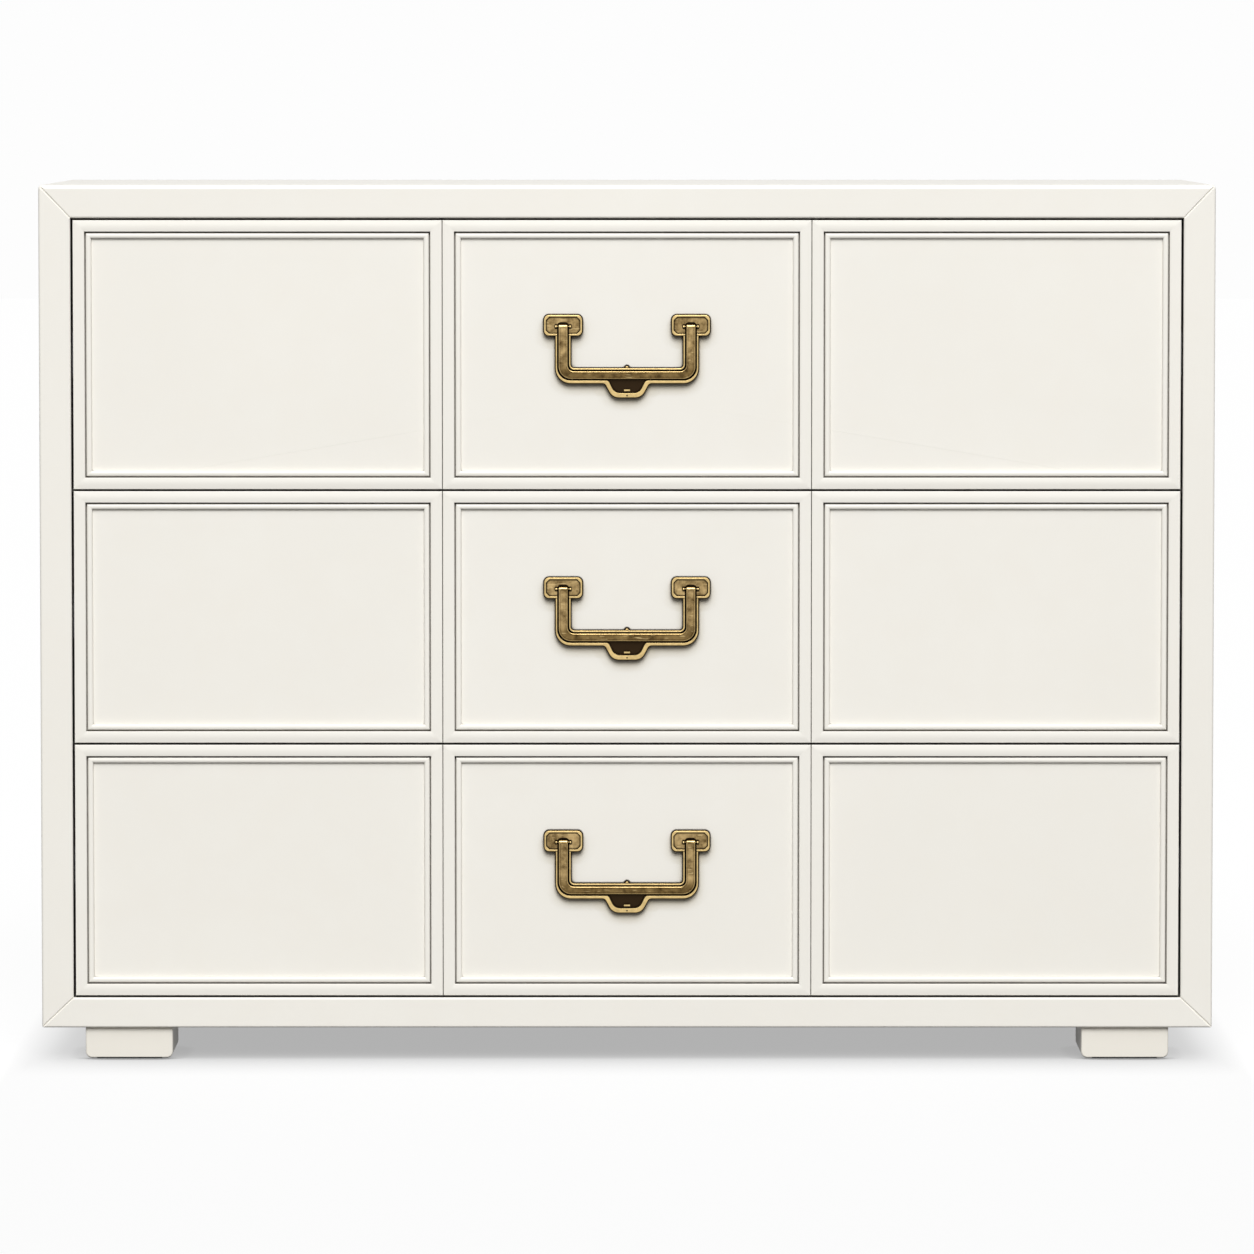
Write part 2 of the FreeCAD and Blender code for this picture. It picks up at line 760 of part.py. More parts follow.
def pull_bail():
    """The swinging bail: a flat U with rounded edges, a sunk face and knuckles round the pins."""
    x = pull_centres / 2
    z_pin = pull_h / 2 - pivot_drop
    face_h = tray_floor_h + bail_seat_clear + bail_t
    body = raised(bail_outline(0, z_pin), face_h - bail_t, face_h)
    body = body.makeFillet(bail_crest_r, edges_at_height(body, face_h, z_pin))
    knuckles = [round_ended(bail_t / 2, bail_w, V(side * x - bail_w / 2, -pin_h, z_pin), V(1, 0, 0),
                            bail_crest_r) for side in (-1, 1)]
    sunk = raised(bail_outline(bail_border, z_pin - bail_sink_drop), face_h - bail_sink, face_h + bail_t)
    return cut(fused([body] + knuckles), [sunk] + pull_pin_rods(pin_clear))


def pull_pin_rods(clear):
    """Rods along the two pins that the bail swings on, thicker by a clearance."""
    x = pull_centres / 2
    reach = bail_w / 2 + ear_clear + ear_w
    z_pin = pull_h / 2 - pivot_drop
    return [rod(pin_r + clear, 2 * reach, V(side * x - reach, -pin_h, z_pin), V(1, 0, 0))
            for side in (-1, 1)]


def pull_fixings():
    """Two machine screws from inside the drawer and one tack through the scoop's rim."""
    x = pull_centres / 2
    z_pin = pull_h / 2 - pivot_drop
    seat_y = front_t + box_t
    length = seat_y - boss_skin - screw_clear
    screws = [pan_screw(pull_screw_r, length, pull_screw_head_r, pull_screw_head_t,
                        V(side * x, seat_y, z_pin), V(0, -1, 0)) for side in (-1, 1)]
    return screws + [rod(tack_r, tack_l, tack_top(), V(0, 1, 0))]


def pull_bores():
    """Holes through the drawer front and box for the pull's bosses, screws and tack."""
    x = pull_centres / 2
    z_pin = pull_h / 2 - pivot_drop
    holes = []
    for side in (-1, 1):
        holes.append(rod(boss_r + boss_clear, boss_l + boss_clear, V(side * x, 0, z_pin), V(0, 1, 0)))
        holes.append(rod(pull_screw_r + screw_clear, front_t + box_t, V(side * x, 0, z_pin), V(0, 1, 0)))
    tack_depth = tack_l - (tray_rim_h - tack_sink) + pin_clear
    holes.append(rod(tack_r + pin_clear, tack_depth, V(0, 0, tack_top().z), V(0, 1, 0)))
    return holes


def moved(shapes, offset):
    """Copies of shapes, moved."""
    copies = []
    for shape in shapes:
        copy = shape.copy()
        copy.translate(offset)
        copies.append(copy)
    return copies


# ---- the whole chest ------------------------------------------------------------------------------
def build_drawer(name, z0, z1):
    """Writes the nodes of one drawer, whose front reaches from z0 to z1."""
    box_z0 = z0 + box_margin
    box_z1 = z1 - box_margin
    z_slide = (box_z0 + box_z1) / 2
    pull_at = V(0, field_y, (z0 + z1) / 2 - pull_drop)
    bores = moved(pull_bores(), pull_at)
    left, right, inner_front, back, bottom = drawer_box(box_z0, box_z1)
    front = block(-front_w / 2, front_w / 2, field_y, box_y, z0, z1)
    fixings = [pan_screw(fixing_r, fixing_l, fixing_head_r, fixing_head_t, seat, V(0, -1, 0))
               for seat in fixing_seats(box_z0, box_z1)]
    pilots = [rod(fixing_r + screw_clear, fixing_l + screw_clear, seat, V(0, -1, 0))
              for seat in fixing_seats(box_z0, box_z1)]
    panel_w = front_w / panel_count
    frames = []
    for i in range(panel_count):
        x = (i + 1 / 2) * panel_w - front_w / 2
        frames += panel_frame(x, (z0 + z1) / 2, panel_w - panel_joint, z1 - z0)
    screws = list(fixings)
    drawer_rails = []
    middle_rails = []
    sides = {-1: left, 1: right}
    for side in (-1, 1):
        web_x = side * (box_w / 2 + slide_sheet)
        holes = slide_bores(web_x, -side, z_slide, screw_clear)
        drawer_rails.append(cut(drawer_member(side, z_slide), holes))
        middle_rails.append(middle_member(side, z_slide))
        sides[side] = cut(sides[side], holes)
        screws += slide_screws(web_x, -side, z_slide)
    save(name + "_drawer_front", [cut(front, bores + pilots)])
    save(name + "_drawer_mouldings", frames)
    save(name + "_drawer_left_side", [sides[-1]])
    save(name + "_drawer_right_side", [sides[1]])
    save(name + "_drawer_inner_front", [cut(inner_front, bores + pilots)])
    save(name + "_drawer_back", [back])
    save(name + "_drawer_bottom", [bottom])
    save(name + "_drawer_screws", screws)
    save(name + "_slide_drawer_members", drawer_rails)
    save(name + "_slide_middle_members", middle_rails)
    save(name + "_pull_backplate", moved([pull_backplate()], pull_at))
    save(name + "_pull_bail", moved([pull_bail()], pull_at))
    save(name + "_pull_pins", moved(pull_pin_rods(0), pull_at))
    save(name + "_pull_fixings", moved(pull_fixings(), pull_at))
    return z_slide


def build_case(rail_zs, slide_zs):
    """Writes the nodes of the case, its feet and the slide members fixed to it."""
    corners = case_corners()
    shell = case_shell()
    grooves = [mitre_groove(*pair) for pair in corners.values()]
    boards = {
        "case_top": ("left_top", "right_top"),
        "case_bottom": ("left_low", "right_low"),
        "case_left_side": ("left_low", "left_top"),
        "case_right_side": ("right_low", "right_top"),
    }
    slots = [spline(*pair, joint_clear) for pair in corners.values()]
    back_bores = [rod(back_screw_r + screw_clear, back_screw_l + screw_clear, seat, V(0, -1, 0))
                  for seat in back_screws()]
    foot_bores = []
    foot_screws = []
    feet = foot_places()
    for x, y in feet.values():
        for seat in foot_screw_seats(x, y):
            foot_bores.append(flat_screw(foot_screw_r + screw_clear, foot_screw_l + screw_clear,
                                         foot_screw_head_r + screw_clear, foot_screw_head_t,
                                         seat, V(0, 0, -1)))
            screw = flat_screw(foot_screw_r, foot_screw_l, foot_screw_head_r, foot_screw_head_t,
                               seat, V(0, 0, -1))
            foot_screws.append(recessed(screw, foot_screw_head_r, foot_screw_head_t, seat, V(0, 0, -1)))
    rail_slots = [front_rail(z, joint_clear) for z in rail_zs]
    case_members = {-1: [], 1: []}
    member_holes = []
    member_screws = []
    for z in slide_zs:
        for side in (-1, 1):
            web_x = side * (open_w / 2 - slide_sheet)
            holes = slide_bores(web_x, side, z, screw_clear)
            case_members[side].append(cut(case_member(side, z), holes))
            member_holes += holes
            member_screws += slide_screws(web_x, side, z)
    cutters = grooves + slots + back_bores + foot_bores + rail_slots + member_holes
    for name, (first, second) in boards.items():
        save(name, [cut(case_board(shell, corners[first], corners[second]), cutters)])
    save("corner_splines", [spline(*pair, 0) for pair in corners.values()])
    reach_x = open_w / 2 + rabbet_w - back_clear
    panel = block(-reach_x, reach_x, back_inner_y, back_inner_y + back_t,
                  open_low_z - rabbet_w + back_clear, open_top_z + rabbet_w - back_clear)
    save("case_back", [cut(panel, back_bores)])
    save("case_back_screws", [pan_screw(back_screw_r, back_screw_l, back_screw_head_r, back_screw_head_t,
                                        seat, V(0, -1, 0)) for seat in back_screws()])
    for name, z in zip(("upper_front_rail", "lower_front_rail"), rail_zs):
        save(name, [front_rail(z, 0)])
    for name, place in feet.items():
        save(name + "_foot", [cut(foot_block(*place), foot_bores)])
    save("foot_pads", [foot_pad(*place) for place in feet.values()])
    save("foot_screws", foot_screws)
    save("left_slide_case_members", case_members[-1])
    save("right_slide_case_members", case_members[1])
    save("slide_case_screws", member_screws)


def build():
    """Writes every node of the chest."""
    os.makedirs("parts", exist_ok=True)
    top = open_top_z - front_gap
    rail_zs = []
    slide_zs = []
    for name, height in drawer_heights.items():
        slide_zs.append(build_drawer(name, top - height, top))
        rail_zs.append(top - height - front_gap / 2)
        top -= height + front_gap
    build_case(rail_zs[:-1], slide_zs)


build()
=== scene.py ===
"""Looks of the campaign chest: finishes, light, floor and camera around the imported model, in metres."""

import math

import bpy
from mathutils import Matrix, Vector


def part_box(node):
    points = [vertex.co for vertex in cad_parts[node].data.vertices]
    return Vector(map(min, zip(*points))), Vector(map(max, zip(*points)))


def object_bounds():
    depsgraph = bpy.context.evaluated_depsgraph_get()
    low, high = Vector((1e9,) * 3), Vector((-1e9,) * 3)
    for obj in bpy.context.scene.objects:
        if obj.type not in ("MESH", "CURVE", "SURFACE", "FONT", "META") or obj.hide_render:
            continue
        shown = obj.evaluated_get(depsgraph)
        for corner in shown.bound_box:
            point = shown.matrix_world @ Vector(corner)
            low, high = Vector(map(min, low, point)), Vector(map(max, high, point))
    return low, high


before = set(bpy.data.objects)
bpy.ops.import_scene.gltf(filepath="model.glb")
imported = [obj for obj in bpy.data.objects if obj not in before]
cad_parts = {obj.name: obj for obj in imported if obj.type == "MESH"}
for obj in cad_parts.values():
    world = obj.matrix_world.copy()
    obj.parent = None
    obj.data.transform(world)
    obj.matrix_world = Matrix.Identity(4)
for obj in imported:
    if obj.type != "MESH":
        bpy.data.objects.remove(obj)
cad_low, cad_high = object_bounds()

# ---- camera: a long lens straight ahead, a little over the height of the top -----------------------
IMAGE_SIDE = 1254
FOCAL_PIXELS = 7978
SENSOR = 36.0
CAMERA_AHEAD = 8.267
CAMERA_HEIGHT = 1.0086
CAMERA_PITCH = math.radians(3.856)
CAMERA_REACH = 100.0

# ---- light -----------------------------------------------------------------------------------------
SKY_STRENGTH = 0.20
BACKDROP = 0.983
KEY = {"energy": 2.86, "elevation": 38, "turn": 2, "spread": 36, "stand": (0.0, 0.0, 4.0)}
TOP_BOX = {"power": 19.0, "size": (3.0, 1.2), "stand": (0.0, -1.6, 2.9), "aim": (0.0, -0.2, 0.6)}

# ---- floor: each curve is a row of points, each a measure and its result; together they paint the floor's shadow near the object ---
FLOOR_SIDE = 60.0
FLOOR_ALBEDO = 0.14
FLOOR_SEEN_ALBEDO = 0.10
OPEN_REACH = 0.15
GLOW_BY_OPENNESS = ((0.06, 0.40), (0.15, 0.42), (0.37, 0.505), (0.67, 0.70), (1.0, 0.875))
# painted light that lifts the floor's painted shadow past the case's sides
GLOW_BY_OFFSET = ((0.50, 0.44), (0.59, 0.66), (0.645, 0.92))
CONTACT_REACH = 0.03
CONTACT_BY_OPENNESS = ((0.50, 0.04), (0.86, 1.0))
FEET_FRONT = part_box("front_left_foot")[0].y
CONTACT_BY_DEPTH = ((FEET_FRONT - 0.002, 0.0), (FEET_FRONT + 0.006, 0.93))

# ---- noise: most of its values lie in the bulk, and the core of them is narrower --------------------
BULK = (0.3, 0.7)
CORE = (0.35, 0.65)
WHOLE = (0.0, 1.0)

# ---- lacquer: colours as display values, and the shares in which some of them are laid on; all but the coat's own tones are painted shade ---
LACQUER = {
    "warm": (241, 238, 230),
    "cool": (239, 236, 228),
    "cloud": (239, 235, 226),
    # painted shade: the colour of surfaces that face straight up
    "top": (227, 224, 216),
    # painted shade: the feet, below the case, are drawn in this darker colour
    "feet": (236, 231, 220),
    # painted shadow that the pulls cast on the lacquer below them
    "painted_cast_shadow": (188, 174, 142),
    # painted shade in the corners and creases of the lacquer
    "corner": (112, 84, 48),
    # painted shade: a dark outline on the lacquer right round each pull
    "rim": (84, 62, 34),
    # painted shade in the quirks of the mouldings, where light from above does not reach
    "quirk": (72, 52, 30),
    # painted shade deep in the gaps round the drawers
    "gap": (22, 15, 9),
}
# shares of the coat's clouds, and of the painted shade on the top, on the feet, under the pulls and round
# them
LACQUER_SHARES = {"cloud": 0.5, "top": 0.8, "feet": 0.8, "painted_cast_shadow": 0.75, "rim": 0.50}
LACQUER_NOISE = {
    "drift": {"scale": 3.0, "span": CORE},
    "cloud": {"scale": 28.0, "span": BULK, "detail": 5.0},
    "sheen": {"scale": 60.0, "span": BULK},
    "peel": {"scale": 700.0, "span": WHOLE, "detail": 2.0},
}
PEEL_BUMP = {"strength": 0.06, "distance": 0.0003}
LACQUER_ROUGHNESS = (0.34, 0.42)
LACQUER_SHINE = 0.35
# how nearly straight up a surface faces before it takes the painted top shade
LEVEL_SPAN = (0.985, 0.999)

# ---- painted shade in the creases of the lacquer: how far each looks about itself, and the openness over which it fades --
# the way towards which the painted shade under the pulls and in the quirks is looked for: up and to the
# front, where the light comes from
UP_AND_FRONT = (0.0, -0.5, 0.866)
# painted shadow below the pulls: how far it looks, and the openness over which it fades
CAST_REACH = 0.014
CAST_SPAN = (0.45, 0.90)
# painted shade in corners and creases, and the painted outline round the pulls, look this far
CORNER_REACH = 0.0018
CORNER_SPAN = (0.05, 0.64)
# painted outline round the pulls: the openness over which it fades
RIM_SPAN = (0.45, 0.80)
# painted shade in the quirks: how far it looks, and the openness over which it fades
QUIRK_REACH = 0.004
QUIRK_SPAN = (0.10, 0.40)
# painted shade in the gaps: how far it looks, and the openness over which it fades
GAP_REACH = 0.008
GAP_SPAN = (0.04, 0.48)

# ---- places on the lacquer: the feet, drawn in painted shade, and the margins round a pull over which its painted shadow begins ------
CASE_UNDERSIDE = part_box("case_bottom")[0].z
CASE_ARRIS = 0.001
PULL_BOXES = [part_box(drawer + "_pull_backplate") for drawer in ("top", "middle", "bottom")]
ABOVE_PULL = (0.010, 0.004)
BELOW_PULL = (0.022, 0.014)
BESIDE_PULL = (0.012, 0.006)

# ---- brass: colours as display values, and the shares in which some of them are laid on; the tray, arris, flank and crease colours are painted shade, with patina in the tray and creases ---
BRASS = {
    "face_low": (84, 66, 38),
    "face_high": (160, 136, 92),
    "face_patch": (204, 176, 124),
    "bar_low": (58, 44, 22),
    "bar_high": (116, 94, 56),
    "bar_patch": (146, 122, 78),
    "grain": (78, 64, 40),
    "scratch": (206, 182, 132),
    # patina with painted shade: the tray floor round the bail, drawn nearly black
    "tray": (44, 33, 21),
    "rubbed": (222, 194, 134),
    # painted shade: a dark line along the arrises
    "arris_shade": (84, 58, 26),
    # painted shade on steep flanks that turn away from the front
    "flank": (26, 16, 6),
    # tarnish with painted shade, nearly black, deep in the creases
    "crease": (9, 6, 4),
}
# shares of patches, grain, scratches and of the painted shade along the arrises
BRASS_SHARES = {"face_patch": 0.6, "bar_patch": 0.5, "grain": 0.25, "scratch": 0.5, "arris_shade": 0.70}
LEAST_RUBBED = 0.6
BRASS_NOISE = {
    "mottle": {"scale": 170.0, "span": (0.34, 0.66), "detail": 6.0, "roughness": 0.7},
    "patches": {"scale": 62.0, "span": (0.46, 0.66)},
    "grain": {"scale": 900.0, "span": BULK},
    "scratches": {"scale": 700.0, "span": (0.66, 0.72), "detail": 1.0},
}
GRAIN_STRETCH = (1.0, 1.0, 0.25)
SCRATCH_STRETCH = (0.12, 1.0, 1.0)
SCRATCH_TURN = (0.0, 0.5, 0.0)
DENT_BUMP = {"strength": 0.25, "distance": 0.00025}
MOTTLE_DENTS = 0.7
GRAIN_DENTS = 0.3
POLISHED_DENTS = 0.15
BRASS_ROUGHNESS = (0.46, 0.30)

# ---- places on the brass: heights above the drawer fronts, and how far flanks and arrises turn before they take painted shade ------
FIELD_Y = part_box("top_drawer_front")[0].y
TRAY_TO_FACE = (0.0023, 0.0042)
PLATE_FIELD = 0.0046
PLATE_CREST = 0.0060
CREST_STEP = 0.0003
BAR_RISE = 0.009
# painted shade along the arrises: how far round an edge it reaches, and how far the surface turns
ARRIS_RADIUS = 0.0007
ARRIS_SPAN = (0.86, 0.99)
EASED_SPAN = (0.995, 0.965)
# how far a flank turns before it is drawn in painted shade, on the plates and on the bails
PLATE_FLANK = (0.90, 0.975)
BAIL_FLANK = (0.45, 0.75)
# tarnish with painted shade in the creases: how far it looks, and the openness over which it fades
TARNISH_AND_SHADE_REACH = 0.0022
TARNISH_AND_SHADE_SPAN = (0.35, 0.85)

# ---- woods, metals and nylon, as display values -----------------------------------------------------
MAPLE = ((228, 204, 166), (212, 184, 144))
BIRCH = ((220, 190, 146), (204, 170, 124))
WASHED = ((214, 206, 190), (198, 187, 167))
PORES = (150, 118, 82)
ROLLED = ((170, 174, 178), (196, 199, 202))
TURNED = ((160, 163, 165), (190, 192, 190))
ZINC_BLOOM = (176, 178, 168)
NYLON = ((34, 31, 28), (52, 48, 43))
ALONG_X = (0.08, 1, 1)
VENEER_ALONG_X = (0.10, 1, 1)
ALONG_Y = (1, 0.08, 1)
ROLLED_ALONG_Y = (1, 0.05, 1)
VENEER_ALONG_Z = (1, 1, 0.10)
TURNED_ALL_ROUND = (1, 1, 1)
WOOD_SCALE = 26.0
VENEER_SCALE = 14.0
PORE_STRETCH = 3
PORE_SCALE = 4
PORE_SPAN = (0.55, 0.75)
PORE_SHARE = 0.35
BLOOM_SHARE = 0.3


def srgb(red, green, blue):
    """A colour given as display values from 0 to 255, in the linear values that shaders use."""
    def linear(value):
        v = value / 255
        return v / 12.92 if v <= 0.04045 else ((v + 0.055) / 1.055) ** 2.4
    return (linear(red), linear(green), linear(blue), 1.0)


def tints(palette):
    """The colours of a palette, in the values that shaders use."""
    return {part: srgb(*values) for part, values in palette.items()}


class Graph:
    """The node tree of one material, built up with short calls."""

    def __init__(self, name):
        self.material = bpy.data.materials.new(name)
        self.material.use_nodes = True
        self.tree = self.material.node_tree
        self.shader = self.tree.nodes["Principled BSDF"]

    def add(self, kind, **settings):
        node = self.tree.nodes.new("ShaderNode" + kind)
        for key, value in settings.items():
            setattr(node, key, value)
        return node

    def feed(self, socket, value):
        """Gives a socket a number, a colour or another node's output."""
        if isinstance(value, bpy.types.NodeSocket):
            self.tree.links.new(value, socket)
        else:
            socket.default_value = value

    def places(self, stretch=(1, 1, 1), turn=(0, 0, 0)):
        """Places on the piece at rest, in metres, stretched along each axis and then turned."""
        mapping = self.add("Mapping")
        self.feed(mapping.inputs["Vector"], self.add("TexCoord").outputs["Object"])
        mapping.inputs["Rotation"].default_value = turn
        mapping.inputs["Scale"].default_value = stretch
        return mapping.outputs["Vector"]

    def axes(self, vector):
        """The X, Y and Z of a vector, by name."""
        node = self.add("SeparateXYZ")
        self.feed(node.inputs[0], vector)
        return node.outputs

    def spread(self, value, low, high, to_low=0.0, to_high=1.0):
        """Maps low..high to to_low..to_high, and holds it outside."""
        node = self.add("MapRange")
        self.feed(node.inputs["Value"], value)
        node.inputs["From Min"].default_value = low
        node.inputs["From Max"].default_value = high
        node.inputs["To Min"].default_value = to_low
        node.inputs["To Max"].default_value = to_high
        return node.outputs["Result"]

    def between(self, share, low, high):
        """The value at a share of the way from low to high."""
        return self.spread(share, 0.0, 1.0, low, high)

    def curve(self, value, points):
        """Straight lines through points of value and result, held beyond both ends."""
        total = points[0][1]
        for (low, start), (high, end) in zip(points, points[1:]):
            total = self.combine("ADD", total, self.spread(value, low, high, 0.0, end - start))
        return total

    def pattern(self, places, scale, span, detail=3.0, roughness=0.5):
        """Noise of a scale per metre, of which the span fills 0 to 1."""
        node = self.add("TexNoise")
        self.feed(node.inputs["Vector"], places)
        node.inputs["Scale"].default_value = scale
        node.inputs["Detail"].default_value = detail
        node.inputs["Roughness"].default_value = roughness
        return self.spread(node.outputs["Fac"], *span)

    def combine(self, operation, first, second):
        node = self.add("Math", operation=operation)
        self.feed(node.inputs[0], first)
        self.feed(node.inputs[1], second)
        return node.outputs[0]

    def times(self, first, second):
        return self.combine("MULTIPLY", first, second)

    def larger(self, first, second):
        return self.combine("MAXIMUM", first, second)

    def absolute(self, value):
        """A number without its sign."""
        return self.combine("ABSOLUTE", value, 0.0)

    def blend(self, factor, first, second):
        """A colour between two colours."""
        node = self.add("Mix", data_type="RGBA")
        self.feed(node.inputs["Factor"], factor)
        self.feed(node.inputs[6], first)
        self.feed(node.inputs[7], second)
        return node.outputs[2]

    def facing(self, axis):
        """How far the surface faces along one axis, either way, from 0 for an edge-on flank to 1."""
        return self.absolute(self.axes(self.add("TexCoord").outputs["Normal"])[axis])

    def flats(self, radius):
        """One on surfaces that face front, falling to zero at their arrises, within a radius of them."""
        eased = self.add("Bevel", samples=6)
        eased.inputs["Radius"].default_value = radius
        local = self.add("VectorTransform", vector_type="NORMAL", convert_from="WORLD", convert_to="OBJECT")
        self.feed(local.inputs[0], eased.outputs[0])
        return self.spread(self.absolute(self.axes(local.outputs[0])["Y"]), *ARRIS_SPAN)

    def openness(self, reach, towards=None):
        """From 0 deep in a crease to 1 in the open, within a reach, all round or towards one way."""
        node = self.add("AmbientOcclusion", samples=8)
        node.inputs["Distance"].default_value = reach
        if towards:
            way = self.add("CombineXYZ")
            for socket, value in zip(way.inputs, towards):
                socket.default_value = value
            self.feed(node.inputs["Normal"], way.outputs[0])
        return node.outputs["AO"]

    def bump(self, height, strength, distance):
        node = self.add("Bump")
        node.inputs["Strength"].default_value = strength
        node.inputs["Distance"].default_value = distance
        self.feed(node.inputs["Height"], height)
        self.feed(self.shader.inputs["Normal"], node.outputs["Normal"])

    def finish(self, colour, roughness, metallic=0.0):
        self.feed(self.shader.inputs["Base Color"], colour)
        self.feed(self.shader.inputs["Roughness"], roughness)
        self.shader.inputs["Metallic"].default_value = metallic
        return self.material


# ---- lacquer ---------------------------------------------------------------------------------------
def near_pulls(g, axes):
    """One close round the three pulls and a little below them, zero elsewhere: where their painted shadow
    and painted dark outline are laid.
    """
    rows = 0.0
    for low, high in PULL_BOXES:
        above = g.spread(axes["Z"], *(high.z + margin for margin in ABOVE_PULL))
        below = g.spread(axes["Z"], *(low.z - margin for margin in BELOW_PULL))
        rows = g.larger(rows, g.times(above, below))
    pull_end = PULL_BOXES[0][1].x
    beside = g.spread(g.absolute(axes["X"]), *(pull_end + margin for margin in BESIDE_PULL))
    return g.times(rows, beside)


def coat_and_top_shade(g, tint, places):
    """The open surface: a slow drift of tone with small clouds, and painted shade that darkens the top where
    it faces up.
    """
    drift = g.pattern(places, **LACQUER_NOISE["drift"])
    cloud = g.pattern(places, **LACQUER_NOISE["cloud"])
    coat = g.blend(drift, tint["warm"], tint["cool"])
    coat = g.blend(g.times(cloud, LACQUER_SHARES["cloud"]), coat, tint["cloud"])
    # painted shade on surfaces that face straight up
    top_shade = g.spread(g.facing("Z"), *LEVEL_SPAN)
    return g.blend(g.times(top_shade, LACQUER_SHARES["top"]), coat, tint["top"])


def lacquer():
    """Off-white satin lacquer, sprayed, with a faint orange peel, and painted shade in corners, quirks and
    gaps, under and round the pulls, on the top and on the feet.
    """
    g = Graph("lacquer_satin")
    tint = tints(LACQUER)
    places = g.places()
    axes = g.axes(places)
    pulls = near_pulls(g, axes)
    tone = coat_and_top_shade(g, tint, places)
    # painted shadow cast by the pulls on the lacquer below them
    painted_cast_shadow = g.spread(g.openness(CAST_REACH, UP_AND_FRONT), *CAST_SPAN, LACQUER_SHARES["painted_cast_shadow"], 0.0)
    tone = g.blend(g.times(pulls, painted_cast_shadow), tone, tint["painted_cast_shadow"])
    # painted shade in every corner and crease of the lacquer
    corner = g.openness(CORNER_REACH)
    tone = g.blend(g.spread(corner, *CORNER_SPAN), tint["corner"], tone)
    # painted shade: a dark outline on the lacquer where it meets a pull
    rim = g.spread(corner, *RIM_SPAN, LACQUER_SHARES["rim"], 0.0)
    tone = g.blend(g.times(pulls, rim), tone, tint["rim"])
    # painted shade: the feet below the case are drawn darker, and are spared the painted shade of the quirks
    feet = g.spread(axes["Z"], CASE_UNDERSIDE, CASE_UNDERSIDE + CASE_ARRIS, 1.0, 0.0)
    tone = g.blend(g.times(feet, LACQUER_SHARES["feet"]), tone, tint["feet"])
    # painted shade in the quirks, looked for towards the light above and in front; the feet are spared
    quirk = g.spread(g.openness(QUIRK_REACH, UP_AND_FRONT), *QUIRK_SPAN)
    tone = g.blend(g.larger(feet, quirk), tint["quirk"], tone)
    # painted shade deep in the gaps, where the shine of the lacquer is also taken out
    gap = g.spread(g.openness(GAP_REACH), *GAP_SPAN)
    tone = g.blend(gap, tint["gap"], tone)
    g.bump(g.pattern(places, **LACQUER_NOISE["peel"]), **PEEL_BUMP)
    g.feed(g.shader.inputs["Specular IOR Level"], g.times(gap, LACQUER_SHINE))
    return g.finish(tone, g.between(g.pattern(places, **LACQUER_NOISE["sheen"]), *LACQUER_ROUGHNESS))


# ---- brass -----------------------------------------------------------------------------------------
def brass_face(g, tint, places, mottle, bar_z):
    """Mottled tone of the faces, darker along the bar of a bail whose bar starts at bar_z."""
    patches = g.pattern(places, **BRASS_NOISE["patches"])
    face = g.blend(mottle, tint["face_low"], tint["face_high"])
    face = g.blend(g.times(patches, BRASS_SHARES["face_patch"]), face, tint["face_patch"])
    if bar_z is None:
        return face
    bar = g.blend(mottle, tint["bar_low"], tint["bar_high"])
    bar = g.blend(g.times(patches, BRASS_SHARES["bar_patch"]), bar, tint["bar_patch"])
    arms = g.spread(g.axes(places)["Z"], bar_z + BAR_RISE, bar_z + 2 * BAR_RISE)
    return g.blend(arms, bar, face)


def brass(name, crest_rub, painted_flank_shade, bar_z=None):
    """Brass with patina and painted shade in its hollows, painted shade on steep flanks and arrises, and
    polished where hands rub it.
    """
    g = Graph(name)
    tint = tints(BRASS)
    places = g.places()
    height = g.combine("SUBTRACT", FIELD_Y, g.axes(places)["Y"])
    facing = g.facing("Y")
    mottle = g.pattern(places, **BRASS_NOISE["mottle"])
    grain = g.pattern(g.places(GRAIN_STRETCH), **BRASS_NOISE["grain"])
    scratches = g.pattern(g.places(SCRATCH_STRETCH, SCRATCH_TURN), **BRASS_NOISE["scratches"])
    face = brass_face(g, tint, places, mottle, bar_z)
    face = g.blend(g.times(grain, BRASS_SHARES["grain"]), face, tint["grain"])
    face = g.blend(g.times(scratches, BRASS_SHARES["scratch"]), face, tint["scratch"])
    # patina with painted shade on the tray floor, below the faces
    tone = g.blend(g.spread(height, *TRAY_TO_FACE), tint["tray"], face)
    crest = g.times(g.spread(height, PLATE_CREST, PLATE_CREST + CREST_STEP), crest_rub)
    eased = g.times(g.spread(facing, *EASED_SPAN), g.spread(height, PLATE_FIELD, PLATE_CREST))
    rubbed = g.larger(crest, eased)
    wear = g.between(mottle, LEAST_RUBBED, 1.0)
    tone = g.blend(g.times(rubbed, wear), tone, tint["rubbed"])
    # painted shade: a dark line along the arrises of the faces
    tone = g.blend(g.between(g.flats(ARRIS_RADIUS), BRASS_SHARES["arris_shade"], 0.0), tone, tint["arris_shade"])
    # painted shade on flanks that turn away from the front
    flank = g.spread(facing, *painted_flank_shade)
    tone = g.blend(flank, tint["flank"], tone)
    # tarnish with painted shade deep in the creases
    tone = g.blend(g.spread(g.openness(TARNISH_AND_SHADE_REACH), *TARNISH_AND_SHADE_SPAN), tint["crease"], tone)
    polish = g.times(rubbed, flank)
    dents = g.combine("ADD", g.times(mottle, MOTTLE_DENTS), g.times(grain, GRAIN_DENTS))
    g.bump(g.times(dents, g.between(polish, 1.0, POLISHED_DENTS)), **DENT_BUMP)
    return g.finish(tone, g.between(polish, *BRASS_ROUGHNESS), metallic=1.0)


